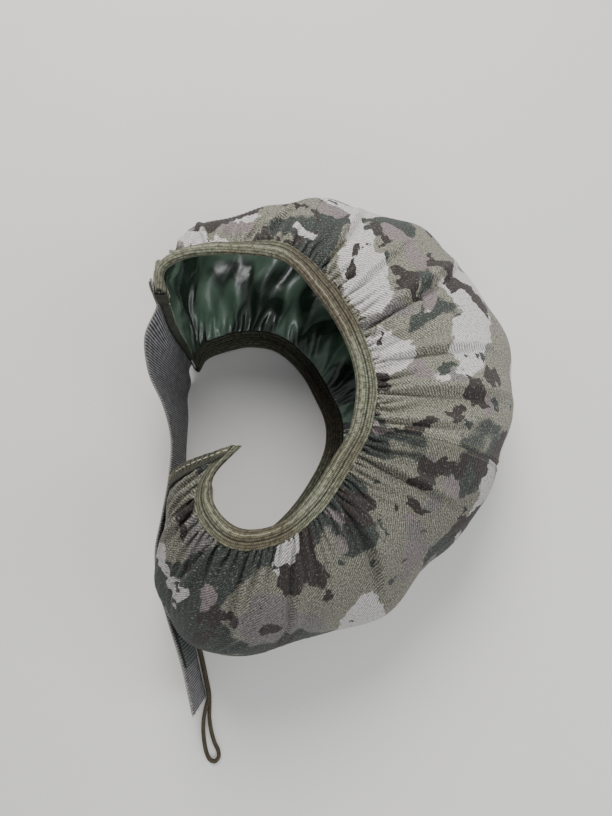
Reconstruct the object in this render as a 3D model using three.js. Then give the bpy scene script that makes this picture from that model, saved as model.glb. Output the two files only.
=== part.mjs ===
// A wrap-around face mask of camouflage cloth. Two puffed, satin-lined halves meet at a seam down the
// middle of the face. Both long edges are gathered on elastic cord inside a folded binding. The mask
// stands on its lower rim as an open ring, and a ribbed strap with hook tape closes it behind the head.
// Millimetres, +Z up. Origin: middle of the footprint, on the surface that the mask stands on.
import * as THREE from 'three';

// ---- Overall sizes --------------------------------------------------------------------------------
const maskDepth = 234;          // X, from the strap to the front of the bulge
const maskLength = 326;         // Y, from the tip of the strap to the far cheek
const rimHeight = 105;          // upper rim above the surface
const bulgeHeight = 52;         // where the cloth stands out furthest

// ---- Cloth, tape and cord -------------------------------------------------------------------------
const shellThickness = 1.2;     // camouflage twill, two plies at the seams
const liningThickness = 0.8;    // satin
const gap = 0.3;                // between layers that lie on each other
const bindingThickness = 1.0;   // woven tape, folded over the rim
const bindingWidth = 12;        // from the fold to its sewn edge
const elasticDiameter = 2.1;    // runs in the fold
const hemThickness = 1.0;
const webbingThickness = 1.6;
const strapWidth = 45;
const strapFoot = 1.5;          // lower edge of the strap above the surface
const hookTapeThickness = 1.2;
const hookTapeMargin = 3;
const patchThickness = 1.3;
const loopCordDiameter = 2.8;
const seamTapeThickness = 0.8;
const bartackThickness = 0.8;
const jointGap = 0.5;           // clear space where two halves or two strap lengths hinge

// ---- The halves -----------------------------------------------------------------------------------
// Stations run along the band from the strap side's short edge, round the front, to the patch side's
// short edge. Each has the upper rim, how far its lip tips down in degrees, the bulge and the lower rim.
const drawnDepth = 234;
const drawnLength = 326;
const stations = [
  { upper: [-104, 84], tilt: 76, bulge: [-103, 72.5], lower: [-97, 61], lowerTilt: 52 },
  { upper: [-102, 99], tilt: 64, bulge: [-109, 106], lower: [-91, 71], lowerTilt: 34 },
  { upper: [-86, 107], tilt: 52, bulge: [-93, 140], lower: [-77, 77], lowerTilt: 12 },
  { upper: [-58, 108], tilt: 42, bulge: [-54, 157], lower: [-58, 81], lowerTilt: 0 },
  { upper: [-31, 103], tilt: 24, bulge: [-12, 162], lower: [-39, 77], lowerTilt: 0 },
  { upper: [-12, 82], tilt: 4, bulge: [46, 149], lower: [-22, 61], lowerTilt: 0 },
  { upper: [3, 57], tilt: -6, bulge: [90, 112], lower: [-10, 41], lowerTilt: 0 },
  { upper: [11, 30], tilt: -8, bulge: [115, 51], lower: [-3, 24], lowerTilt: 0 },
  { upper: [8, 4], tilt: -8, bulge: [103, -15], lower: [-3, 6], lowerTilt: 0 },
  { upper: [-2, -14], tilt: -8, bulge: [75, -56], lower: [-10, -12], lowerTilt: 0 },
  { upper: [-15, -35], tilt: -8, bulge: [20, -100], lower: [-25, -34], lowerTilt: 0 },
  { upper: [-31, -50], tilt: -8, bulge: [-36, -119], lower: [-43, -52], lowerTilt: 0 },
  { upper: [-52, -53], tilt: -6, bulge: [-83, -121], lower: [-60, -57], lowerTilt: 0 },
  { upper: [-66, -41], tilt: -4, bulge: [-103.5, -83], lower: [-73, -49], lowerTilt: 0 },
  { upper: [-67, -24], tilt: 0, bulge: [-101.5, -51], lower: [-79, -37], lowerTilt: 0 },
  { upper: [-53, -8], tilt: 6, bulge: [-99, -21], lower: [-80, -22], lowerTilt: 0 },
];
const lastStation = stations.length - 1;
const frontSeam = 8;            // the station where the two halves are sewn together
const lowerLift = 0.06;         // rise of the lower rim for each degree that its lip tips up

// ---- The strap ------------------------------------------------------------------------------------
// Upright lines along the strap's outer face: [top x, top y, bottom x, bottom y, top height].
const strapLines = [
  [-114.5, 61, -103, 54, 88],
  [-115, 43, -105, 43, 75],
  [-109, 25, -104, 27, 58],
  [-105.5, 6, -104.5, 6, 0],
  [-105.5, -18, -104.5, -18, 0],
  [-109, -45, -109, -45, 0],
  [-112, -66, -112, -66, 0],
  [-109.5, -86, -109.5, -86, 0],
  [-103.5, -104, -103.5, -104, 0],
  [-92, -136, -92, -136, 0],
  [-85, -161.5, -85, -161.5, 0],
];
const lastLine = strapLines.length - 1;
const firstHinge = 3;           // line where the strap folds away from the strap side
const secondHinge = 5;          // line where the hook tape end peels off
const hookEnd = 9;              // line where the hook tape stops

// Route of the hang loop from its stitching along the strap and back, [x, y, z].
const loopRoute = [
  [-89, -130.3, 1.9], [-87.4, -135.5, 1.8], [-85.2, -143.9, 1.7], [-83.2, -152, 1.7], [-81.3, -160.1, 1.7],
  [-81, -167.5, 1.7], [-80.8, -174.5, 1.7], [-79.6, -181.5, 1.7], [-77.2, -189, 1.7],
  [-74.6, -194, 1.7], [-74, -198, 1.7], [-76.6, -200.8, 1.7], [-80.2, -199, 1.7], [-82.6, -194, 1.7],
  [-84, -187.5, 1.8], [-84.6, -181, 2.4], [-84.2, -174, 3.6], [-82.8, -167, 4.7], [-81.3, -160, 5.1],
  [-83.2, -152, 5.1], [-85.2, -143.9, 5.1], [-87.4, -135.5, 5.1], [-89, -130.3, 5.2],
];
const loopRootLine = 8.87;      // how far along the strap the loop is sewn

// ---- Curves along the band ------------------------------------------------------------------------
const planX = (x) => x * maskDepth / drawnDepth;
const planY = (y) => y * maskLength / drawnLength;
const along = (pick) => new THREE.CatmullRomCurve3(stations.map(pick), false, 'catmullrom', 0.5);
const lowerRimHeight = gap + bindingThickness;
const upperRim = along((s) => new THREE.Vector3(planX(s.upper[0]), planY(s.upper[1]), rimHeight));
const bulge = along((s) => new THREE.Vector3(planX(s.bulge[0]), planY(s.bulge[1]), bulgeHeight));
const lowerRim = along((s) => new THREE.Vector3(planX(s.lower[0]), planY(s.lower[1]), lowerRimHeight));
const tilts = along((s) => new THREE.Vector3(s.tilt, s.lowerTilt, 0));

// ---- One cross-section of the band ----------------------------------------------------------------
const lipStep = 1;              // the lips take one step of the section, each flank takes this many
const flankSteps = 3;
const equator = lipStep + flankSteps;
const sectionEnd = 2 * equator;
const stationPace = 3;          // rows of points for each station along the band

const radians = THREE.MathUtils.degToRad;
const mix = (a, b, f) => a.clone().lerp(b, f);

function cubic(a, b, c, d, f) {
  const g = 1 - f;
  return a.clone().multiplyScalar(g * g * g)
    .addScaledVector(b, 3 * g * g * f)
    .addScaledVector(c, 3 * g * f * f)
    .addScaledVector(d, f * f * f);
}

// The binding's fold holds the elastic, and the cloth's edge starts beyond it.
const foldDepth = bindingThickness + gap + elasticDiameter + gap;

// The rim is the line of the binding's fold. From it a straight lip runs out to the binding's sewn edge.
function lip(t, isUpper) {
  const f = t / lastStation;
  const rim = (isUpper ? upperRim : lowerRim).getPoint(f);
  const out = bulge.getPoint(f).sub(rim).setZ(0).normalize();
  const tilt = isUpper ? tilts.getPoint(f).x : Math.max(0, tilts.getPoint(f).y);
  if (!isUpper) rim.z += lowerLift * tilt;
  const fall = isUpper ? -1 : 1;
  const direction = out.multiplyScalar(Math.cos(radians(tilt))).setZ(fall * Math.sin(radians(tilt)));
  const across = (s) => rim.clone().addScaledVector(direction, s);
  return { rim, direction, edge: across(foldDepth), end: across(bindingWidth), tilt };
}

// The outside of the cloth: t runs along the band, q runs from the upper rim (0) to the lower rim.
function surface(t, q) {
  const isUpper = q <= equator;
  const side = lip(t, isUpper);
  const fromRim = isUpper ? q : sectionEnd - q;
  if (fromRim <= lipStep) return mix(side.edge, side.end, fromRim / lipStep);
  const widest = bulge.getPoint(t / lastStation);
  const reach = Math.hypot(widest.x - side.end.x, widest.y - side.end.y);
  const rise = Math.abs(side.end.z - widest.z);
  const tip = radians(side.tilt);
  const handle = 0.5 * (reach * Math.cos(tip) + rise * Math.abs(Math.sin(tip)));
  const nearRim = side.end.clone().addScaledVector(side.direction, handle);
  const nearBulge = widest.clone();
  nearBulge.z += 0.6 * (side.end.z - widest.z);
  return cubic(side.end, nearRim, nearBulge, widest, (fromRim - lipStep) / flankSteps);
}

// Outward normal of that surface, the same all the way across a lip, and the surface moved along it.
function normal(t, q) {
  const e = 0.01;
  const onLip = q <= lipStep ? lipStep - 2 * e : sectionEnd - lipStep + 2 * e;
  const at = q <= lipStep || q >= sectionEnd - lipStep ? onLip : q;
  const t0 = Math.max(t - e, 0);
  const t1 = Math.min(t + e, lastStation);
  const alongBand = surface(t1, at).sub(surface(t0, at));
  const acrossBand = surface(t, at + e).sub(surface(t, at - e));
  return alongBand.cross(acrossBand).normalize();
}
const offset = (t, q, d) => surface(t, q).addScaledVector(normal(t, q), d);

// ---- Solids ---------------------------------------------------------------------------------------
const range = (from, to, steps) => Array.from({ length: steps + 1 }, (_, i) => from + (to - from) * i / steps);

// A closed solid between two faces, each given as rows of points: rows run along, points run across.
// The four-sided patches in the columns named in flipped are split along their other diagonal.
function slab(outer, inner, flipped = []) {
  const rows = outer.length;
  const across = outer[0].length;
  const points = [...outer.flat(), ...inner.flat()];
  const o = (j, i) => j * across + i;
  const n = (j, i) => rows * across + j * across + i;
  const faces = [];
  const quad = (a, b, c, d) => faces.push(a, b, c, a, c, d);
  for (let j = 0; j < rows - 1; j++) {
    for (let i = 0; i < across - 1; i++) {
      const turn = flipped.includes(i);
      const outside = [o(j, i), o(j + 1, i), o(j + 1, i + 1), o(j, i + 1)];
      const inside = [n(j, i), n(j, i + 1), n(j + 1, i + 1), n(j + 1, i)];
      quad(...(turn ? [...outside.slice(1), outside[0]] : outside));
      quad(...(turn ? [...inside.slice(1), inside[0]] : inside));
    }
    quad(o(j, 0), n(j, 0), n(j + 1, 0), o(j + 1, 0));
    quad(o(j, across - 1), o(j + 1, across - 1), n(j + 1, across - 1), n(j, across - 1));
  }
  for (let i = 0; i < across - 1; i++) {
    quad(o(0, i), o(0, i + 1), n(0, i + 1), n(0, i));
    quad(o(rows - 1, i), n(rows - 1, i), n(rows - 1, i + 1), o(rows - 1, i + 1));
  }
  const geometry = new THREE.BufferGeometry().setFromPoints(points);
  const volume = faces.reduce((sum, _, k) => (k % 3 ? sum
    : sum + points[faces[k]].dot(points[faces[k + 1]].clone().cross(points[faces[k + 2]]))), 0);
  if (volume < 0) faces.reverse();
  geometry.setIndex(faces);
  geometry.computeVertexNormals();
  return geometry;
}

// A layer that follows the cloth, from depth d0 to depth d1 outside it.
const layer = (ts, qs, d0, d1) => slab(
  ts.map((t) => qs.map((q) => offset(t, q, d1))),
  ts.map((t) => qs.map((q) => offset(t, q, d0))),
);

// Points near a rim: s runs across from the rim's line, n is the depth outside the cloth.
function rimFrame(t, isUpper) {
  const { rim, direction } = lip(t, isUpper);
  const out = normal(t, isUpper ? 0 : sectionEnd);
  return (s, n) => rim.clone().addScaledVector(direction, s).addScaledVector(out, n);
}

const stackDepth = shellThickness + gap + liningThickness;
const elasticClearance = 0.1;   // between the elastic and the flat sides of its fold
function binding(ts, isUpper) {
  const top = gap + bindingThickness;
  const bottom = -stackDepth - top;
  const chamfer = 0.2;
  const swell = Math.max(0, elasticDiameter / 2 + elasticClearance - stackDepth / 2);
  const outside = [[bindingWidth, top], [foldDepth, top + swell], [0, chamfer + swell],
    [0, -stackDepth - chamfer - swell], [foldDepth, bottom - swell], [bindingWidth, bottom]];
  const inside = [[bindingWidth, gap], [foldDepth, gap + swell], [bindingThickness, swell],
    [bindingThickness, -stackDepth - swell], [foldDepth, -stackDepth - gap - swell],
    [bindingWidth, -stackDepth - gap]];
  const rows = (profile) => ts.map((t) => {
    const at = rimFrame(t, isUpper);
    return profile.map(([s, n]) => at(s, n));
  });
  // The leg whose points run against the cloth's is split along the other diagonal, as the cloth is.
  return slab(rows(outside), rows(inside), [isUpper ? 0 : outside.length - 2]);
}

// Elastic cord of six sides, in the fold of the binding.
function elastic(ts, isUpper) {
  const centre = bindingThickness + gap + elasticDiameter / 2;
  const half = (side) => ts.map((t) => {
    const at = rimFrame(t, isUpper);
    return [30, 90, 150].map((turn) => {
      const angle = radians(side * turn);
      const radius = elasticDiameter / 2;
      return at(centre + radius * Math.cos(angle), radius * Math.sin(angle) - stackDepth / 2);
    });
  });
  return slab(half(1), half(-1));
}

// A point on the flat facets that a layer makes between whole steps of the section.
function facet(t, q, d) {
  const step = Math.min(Math.floor(q), sectionEnd - 1);
  return mix(offset(t, step, d), offset(t, step + 1, d), q - step);
}

// Direction out of the band at a short edge.
const away = (edge, inside, q) => surface(edge, q).sub(surface(edge + (inside - edge) * 0.1, q)).normalize();

// A tape folded over a short edge of the band, from rim to rim between the bindings. It covers the first
// row of the cloth, from t = edge to t = covered.
const bindingClearance = 0.08;  // of a step of the section, between the hem's ends and the bindings
function endHem(edge, covered) {
  const qs = range(lipStep, sectionEnd - lipStep, 2 * flankSteps);
  qs[0] += bindingClearance;
  qs[qs.length - 1] -= bindingClearance;
  const outside = gap + hemThickness;
  const inside = -stackDepth - outside;
  const fold = gap + hemThickness;
  const row = (q, profile) => profile.map(([beyond, depth]) => (beyond < 0 ? facet(covered, q, depth)
    : facet(edge, q, depth).addScaledVector(away(edge, covered, q), beyond)));
  const outer = [[-1, outside], [0, outside], [fold, outside - 0.4], [fold, inside + 0.4], [0, inside],
    [-1, inside]];
  const inner = [[-1, gap], [0, gap], [gap, gap - 0.2], [gap, 0.2 - stackDepth - gap],
    [0, -stackDepth - gap], [-1, -stackDepth - gap]];
  // The patches on both legs are split the same way as the cloth's.
  const flipped = [covered > edge ? 0 : outer.length - 2];
  return slab(qs.map((q) => row(q, outer)), qs.map((q) => row(q, inner)), flipped);
}

// ---- Strap lengths --------------------------------------------------------------------------------
// The strap's outer face at line k, as points from top to foot, moved in by a depth.
const strapAcross = 2 * flankSteps + 1;
function strapCorners(k) {
  const [topX, topY, footX, footY, height] = strapLines[k];
  const top = new THREE.Vector3(planX(topX), planY(topY), height || strapFoot + strapWidth);
  return [top, new THREE.Vector3(planX(footX), planY(footY), strapFoot)];
}
function strapPoint(k, f, depth) {
  const k0 = Math.min(Math.floor(k), strapLines.length - 2);
  const blend = (i) => mix(...strapCorners(i), f);
  const whole = Number.isInteger(k);
  const before = blend(whole ? Math.max(k - 1, 0) : k0);
  const after = blend(whole ? Math.min(k + 1, strapLines.length - 1) : k0 + 1);
  const [top, foot] = strapCorners(k0);
  const inwards = after.sub(before).cross(foot.sub(top)).normalize();
  return mix(blend(k0), blend(k0 + 1), k - k0).addScaledVector(inwards, depth);
}
const strapRow = (k, depth, margin = 0) => range(margin, 1 - margin, strapAcross)
  .map((f) => strapPoint(k, f, depth));

// A length of the strap between two lines, between two depths, set back from both its edges.
function strapLength(from, to, depth0, depth1, edgeMargin = 0) {
  const ks = [from, ...range(0, lastLine, lastLine).filter((k) => k > from && k < to), to];
  const margin = edgeMargin / strapWidth;
  return slab(ks.map((k) => strapRow(k, depth0, margin)), ks.map((k) => strapRow(k, depth1, margin)));
}

// How many lines a length in millimetres is, counted from line k.
const strapShare = (k, length) => length / strapPoint(k, 1, 0).distanceTo(strapPoint(k + 1, 1, 0));

// The sewn end of the strap lies over the hem, covers two rows of cloth and passes outside the lower
// binding. Then it leaves the cloth and narrows to the first hinge line.
const sewnNear = 2 * gap + hemThickness;
const sewnFar = sewnNear + webbingThickness;
const sewnFoot = 0.4;           // how far down the lower lip the sewn end reaches
const sewnQs = [...range(lipStep, sectionEnd - lipStep, 2 * flankSteps), sectionEnd - sewnFoot];
const sewnRow = (row, depth) => sewnQs.map((q) => offset(row / stationPace, q, depth));
const pastHem = (depth) => sewnQs.map((q) => offset(0, q, depth)
  .addScaledVector(away(0, 1, q), hemThickness + 3 * gap));
function strapRoot() {
  const free = [0, 1, 2, firstHinge - strapShare(firstHinge - 1, jointGap / 2)];
  const face = (sewnDepth, freeDepth) => [
    ...[2, 1, 0].map((row) => sewnRow(row, sewnDepth)),
    pastHem(sewnDepth),
    ...free.map((k) => strapRow(k, freeDepth)),
  ].map((points) => points.reverse());    // foot first, so that its patches split as the hem's do
  return slab(face(sewnFar, 0), face(sewnNear, webbingThickness));
}

// ---- Hang loop ------------------------------------------------------------------------------------
function tube(points, diameter, steps, quarterSides) {
  const circle = new THREE.Shape().absarc(0, 0, diameter / 2, 0, 2 * Math.PI);
  const path = new THREE.CatmullRomCurve3(points);
  return new THREE.ExtrudeGeometry(circle, { extrudePath: path, steps, curveSegments: quarterSides });
}

// ---- Assembly -------------------------------------------------------------------------------------
const mask = new THREE.Group();
const cloth = (color, roughness) => new THREE.MeshStandardMaterial({ color, roughness, metalness: 0 });
const camouflage = cloth(0x7d8068, 0.92);
const satin = cloth(0x2c4434, 0.35);
const bindingCloth = cloth(0x5b5e3c, 0.85);
const elasticCloth = cloth(0x2a2b26, 0.8);
const hemCloth = cloth(0x3b4038, 0.9);
const webbing = cloth(0x3a3b3a, 0.85);
const hookCloth = cloth(0x23282a, 0.7);
const pileCloth = cloth(0x2f3834, 0.95);
const cordCloth = cloth(0x4a4430, 0.85);
const thread = cloth(0x8b8a7a, 0.7);

function add(name, geometry, material) {
  const mesh = new THREE.Mesh(geometry, material);
  mesh.name = name;
  mask.add(mesh);
  return mesh;
}

const seamShare = 0.008;        // half the hinge gap at the front seam, in stations
const sides = [
  { name: 'strap_side', from: 0, to: frontSeam - seamShare },
  { name: 'patch_side', from: frontSeam + seamShare, to: lastStation },
];
const clothQs = range(0, sectionEnd, sectionEnd);
for (const side of sides) {
  const ts = range(side.from, side.to, Math.round(side.to - side.from) * stationPace);
  add(`shell_${side.name}`, layer(ts, clothQs, -shellThickness, 0), camouflage);
  add(`lining_${side.name}`, layer(ts, clothQs, -stackDepth, -shellThickness - gap), satin);
  add(`upper_binding_${side.name}`, binding(ts, true), bindingCloth);
  add(`lower_binding_${side.name}`, binding(ts, false), bindingCloth);
  add(`upper_elastic_${side.name}`, elastic(ts, true), elasticCloth);
  add(`lower_elastic_${side.name}`, elastic(ts, false), elasticCloth);
}
const row = 1 / stationPace;
add('end_hem_strap_side', endHem(0, row), hemCloth);
add('end_hem_patch_side', endHem(lastStation, lastStation - row), hemCloth);

// Tape over the raw edges of the front seam, inside the lining of the strap side.
const seamEdge = frontSeam - seamShare;
const seamRow = seamEdge - seamEdge / Math.round(seamEdge * stationPace);
const seamTapeShare = 0.4;
const seamTapeFace = (depth) => [1, 1 - seamTapeShare].map((f) => range(lipStep, sectionEnd - lipStep,
  2 * flankSteps).map((q) => mix(offset(seamRow, q, depth), offset(seamEdge, q, depth), f)));
const underLining = -stackDepth - gap;
add('front_seam_tape', slab(seamTapeFace(underLining), seamTapeFace(underLining - seamTapeThickness)), hemCloth);

add('strap_root', strapRoot(), webbing);
const hingeHalf = (k) => strapShare(k, jointGap / 2);
add('strap_middle', strapLength(firstHinge + hingeHalf(firstHinge), secondHinge - hingeHalf(secondHinge - 1),
  0, webbingThickness), webbing);
add('strap_tail', strapLength(secondHinge + hingeHalf(secondHinge), lastLine, 0, webbingThickness), webbing);
const hookFace = webbingThickness + gap + hookTapeThickness;
add('hook_tape', strapLength(secondHinge + strapShare(secondHinge, hookTapeMargin), hookEnd,
  webbingThickness + gap, hookFace, hookTapeMargin), hookCloth);

// Pile tape on the outside of the patch side, below the bulge, where the hooks hold.
const patchRows = [...range(37, 43, 6), 43.8];
const patchQs = range(equator, equator + 2, 2);
add('loop_patch', layer(patchRows.map((r) => r / stationPace), patchQs, gap, gap + patchThickness), pileCloth);

// Bar tacks: thick rows of thread across the loop's two ends, and at the ends of the strap's seam.
const barWidth = 2.4;
const barHeight = 7;
function loopBar() {
  const share = strapShare(Math.floor(loopRootLine), 1);
  const face = (depth) => [gap + barWidth, gap].map((back) => [barHeight / strapWidth, 0]
    .map((rise) => strapPoint(loopRootLine - back * share, 1 - rise, depth)));
  return slab(face(hookFace + gap), face(hookFace + gap + loopCordDiameter));
}
add('hang_loop_bartack', loopBar(), thread);

function seamBar(q) {
  const depths = [sewnFar + gap, sewnFar + gap + bartackThickness];
  const face = (depth) => [0.4, 0.9].map((f) => [q, q + 0.12]
    .map((at) => mix(facet(row, at, depth), facet(2 * row, at, depth), f)));
  return slab(face(depths[0]), face(depths[1]));
}
add('strap_bartack_top', seamBar(lipStep + 0.2), thread);
add('strap_bartack_bottom', seamBar(sectionEnd - lipStep - 0.4), thread);

add('hang_loop', tube(loopRoute.map((p) => new THREE.Vector3(...p)), loopCordDiameter, 60, 4), cordCloth);

export default mask;
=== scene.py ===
"""The looks of a camouflage face mask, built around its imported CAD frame.

The cloth is worked out in millimetres, in the frame's own axes, on the same stations as the CAD. Each panel
is cut longer than the rims that it is sewn to, and a small relaxation then lets it buckle into gathers.
"""
import math

import bmesh
import bpy
import numpy as np
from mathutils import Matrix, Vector


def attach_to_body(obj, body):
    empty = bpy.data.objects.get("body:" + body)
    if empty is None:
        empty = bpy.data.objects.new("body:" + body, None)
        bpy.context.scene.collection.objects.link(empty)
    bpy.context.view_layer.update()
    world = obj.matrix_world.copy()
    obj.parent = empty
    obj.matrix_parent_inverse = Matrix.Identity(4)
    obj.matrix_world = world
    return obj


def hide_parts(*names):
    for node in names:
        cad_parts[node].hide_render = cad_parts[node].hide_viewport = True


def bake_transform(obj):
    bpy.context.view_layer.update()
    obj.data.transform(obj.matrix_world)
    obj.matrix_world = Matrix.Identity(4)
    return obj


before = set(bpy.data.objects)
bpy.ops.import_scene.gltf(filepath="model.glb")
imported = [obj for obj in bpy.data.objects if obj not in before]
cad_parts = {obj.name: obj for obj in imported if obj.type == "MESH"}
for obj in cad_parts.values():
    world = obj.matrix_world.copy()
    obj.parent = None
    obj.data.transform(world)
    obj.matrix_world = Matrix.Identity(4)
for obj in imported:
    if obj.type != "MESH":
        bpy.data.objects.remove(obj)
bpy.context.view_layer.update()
scene = bpy.context.scene
MM = 0.001

# ---- Camera, floor and light ---------------------------------------------------------------------------
CAMERA_AT = (-0.017, -0.057, 0.440)
CAMERA_TILT = 11.8          # degrees away from straight down
LENS, SENSOR = 27.04, 36.0


def make_camera():
    camera = bpy.data.objects.new("camera", bpy.data.cameras.new("camera"))
    camera.data.lens = LENS
    camera.data.sensor_width = SENSOR
    camera.data.sensor_fit = "AUTO"
    camera.data.clip_start = 0.01
    camera.location = CAMERA_AT
    camera.rotation_euler = (math.radians(CAMERA_TILT), 0, 0)
    scene.collection.objects.link(camera)
    scene.camera = camera


def make_light(name, place, size, power, colour=(1, 1, 1)):
    lamp = bpy.data.lights.new(name, "AREA")
    lamp.shape = "DISK"
    lamp.size = size
    lamp.energy = power
    lamp.color = colour
    holder = bpy.data.objects.new(name, lamp)
    holder.location = place
    holder.rotation_euler = (-Vector(place)).to_track_quat("-Z", "Y").to_euler()
    scene.collection.objects.link(holder)


def make_world():
    world = bpy.data.worlds.new("studio")
    world.use_nodes = True
    background = world.node_tree.nodes["Background"]
    background.inputs["Color"].default_value = (0.93, 0.95, 1.0, 1)
    background.inputs["Strength"].default_value = 0.42
    scene.world = world


make_camera()
make_world()
make_light("key", (-0.15, 0.85, 1.0), 0.7, 17.0, (1.0, 0.99, 0.97))
make_light("fill", (0.9, -0.25, 0.8), 0.8, 5.0, (0.96, 0.98, 1.0))
make_light("front", (0.15, -0.95, 0.85), 0.5, 4.5, (0.98, 0.99, 1.0))

# ---- The band's surface, as the CAD has it -------------------------------------------------------------
# Stations along the band: upper rim x, y, lip tilt, bulge x, y, lower rim x, y, lower lip tilt.
STATIONS = np.array([
    (-104, 84, 76, -103, 72.5, -97, 61, 52),
    (-102, 99, 64, -109, 106, -91, 71, 34),
    (-86, 107, 52, -93, 140, -77, 77, 12),
    (-58, 108, 42, -54, 157, -58, 81, 0),
    (-31, 103, 24, -12, 162, -39, 77, 0),
    (-12, 82, 4, 46, 149, -22, 61, 0),
    (3, 57, -6, 90, 112, -10, 41, 0),
    (11, 30, -8, 115, 51, -3, 24, 0),
    (8, 4, -8, 103, -15, -3, 6, 0),
    (-2, -14, -8, 75, -56, -10, -12, 0),
    (-15, -35, -8, 20, -100, -25, -34, 0),
    (-31, -50, -8, -36, -119, -43, -52, 0),
    (-52, -53, -6, -83, -121, -60, -57, 0),
    (-66, -41, -4, -103.5, -83, -73, -49, 0),
    (-67, -24, 0, -101.5, -51, -79, -37, 0),
    (-53, -8, 6, -99, -21, -80, -22, 0),
], float)
LAST = len(STATIONS) - 1
SEAM = 8                    # station of the front seam
RIM_Z, BULGE_Z, LOWER_Z = 105.0, 52.0, 1.3
LOWER_LIFT = 0.06           # rise of the lower rim for each degree that its lip tips up
FOLD, WIDTH = 3.7, 12.0     # where the cloth starts in the binding, and the binding's sewn edge
STACK = 2.3                 # shell, gap and lining
ABOVE_FLOOR = 0.25          # no gather hangs lower than this
EQUATOR, END_Q = 4, 8       # q is 0 at the upper rim and 8 at the lower; a lip takes one step


def spline(rows, f):
    """Catmull-Rom curve through rows, at f counted in rows; its ends run straight on."""
    n = len(rows)
    f = np.asarray(f, float)
    i = np.clip(np.floor(f).astype(int), 0, n - 2)
    w = (f - i).reshape(f.shape + (1,) * (rows.ndim - 1))
    more = np.concatenate([[2 * rows[0] - rows[1]], rows, [2 * rows[-1] - rows[-2]]])
    p0, p1, p2, p3 = more[i], more[i + 1], more[i + 2], more[i + 3]
    m0, m1 = (p2 - p0) / 2, (p3 - p1) / 2
    return p1 + m0 * w + (3 * (p2 - p1) - 2 * m0 - m1) * w ** 2 + (2 * (p1 - p2) + m0 + m1) * w ** 3


def unit(v):
    return v / np.maximum(np.linalg.norm(v, axis=-1, keepdims=True), 1e-9)


def smooth(x, low, high):
    f = np.clip((x - low) / (high - low), 0, 1)
    return f * f * (3 - 2 * f)


def with_z(xy, z):
    return np.concatenate([xy, np.broadcast_to(z, xy.shape[:-1])[..., None]], axis=-1)


def lip(t, upper):
    """Line of the binding's fold, the way its lip runs out from there, and its tilt in radians."""
    row = spline(STATIONS, t)
    xy = row[..., 0:2] if upper else row[..., 5:7]
    tilt = row[..., 2] if upper else np.maximum(row[..., 7], 0)
    out = unit(row[..., 3:5] - xy)
    height = RIM_Z if upper else LOWER_Z + LOWER_LIFT * tilt
    angle = np.radians(tilt)
    fall = -np.sin(angle) if upper else np.sin(angle)
    return with_z(xy, height), with_z(out * np.cos(angle)[..., None], fall), angle


def surface(t, q):
    """Points on the outside of the cloth."""
    t, q = np.broadcast_arrays(np.asarray(t, float), np.asarray(q, float))
    upper = (q <= EQUATOR)[..., None]
    (rim_a, way_a, tip_a), (rim_b, way_b, tip_b) = lip(t, True), lip(t, False)
    rim, way = np.where(upper, rim_a, rim_b), np.where(upper, way_a, way_b)
    tip = np.where(upper[..., 0], tip_a, tip_b)
    s = np.where(upper[..., 0], q, END_Q - q)
    widest = with_z(spline(STATIONS, t)[..., 3:5], BULGE_Z)
    edge, end = rim + way * FOLD, rim + way * WIDTH
    on_lip = edge + (end - edge) * s[..., None]
    reach = np.linalg.norm((widest - end)[..., :2], axis=-1)
    rise = np.abs(end[..., 2] - BULGE_Z)
    handle = 0.5 * (reach * np.cos(tip) + rise * np.abs(np.sin(tip)))
    near_rim = end + way * handle[..., None]
    near_bulge = widest.copy()
    near_bulge[..., 2] += 0.6 * (end[..., 2] - BULGE_Z)
    f = ((s - 1) / (EQUATOR - 1))[..., None]
    g = 1 - f
    flank = g ** 3 * end + 3 * g * g * f * near_rim + 3 * g * f * f * near_bulge + f ** 3 * widest
    return np.where((s <= 1)[..., None], on_lip, flank)


def normal(t, q):
    """Outward normal there, the same all the way across a lip."""
    e = 0.02
    at = np.clip(q, 1 - 2 * e, END_Q - 1 + 2 * e)
    along = surface(np.minimum(t + e, LAST), at) - surface(np.maximum(t - e, 0), at)
    return unit(np.cross(along, surface(t, at + e) - surface(t, at - e)))


def offset(t, q, depth):
    return surface(t, q) + normal(t, q) * np.asarray(depth, float)[..., None]


def rim_point(t, upper, s, n):
    """Point s out from a rim's fold and n outside the cloth."""
    rim, way, _ = lip(t, upper)
    out = normal(t, 0.0 if upper else float(END_Q))
    return rim + way * np.asarray(s, float)[..., None] + out * np.asarray(n, float)[..., None]


def even_steps(function, low, high, pace):
    """Parameters between low and high that step evenly along the curve function(t)."""
    fine = np.linspace(low, high, 600)
    points = function(fine)
    run = np.concatenate([[0], np.cumsum(np.linalg.norm(np.diff(points, axis=0), axis=-1))])
    steps = max(2, round(run[-1] / pace))
    return np.interp(np.linspace(0, run[-1], steps + 1), run, fine)


def arc(points, axis=0):
    """Running length along an axis of a grid of points."""
    legs = np.linalg.norm(np.diff(points, axis=axis), axis=-1)
    return np.concatenate([np.zeros_like(np.take(legs, [0], axis)), np.cumsum(legs, axis)], axis)


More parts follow.
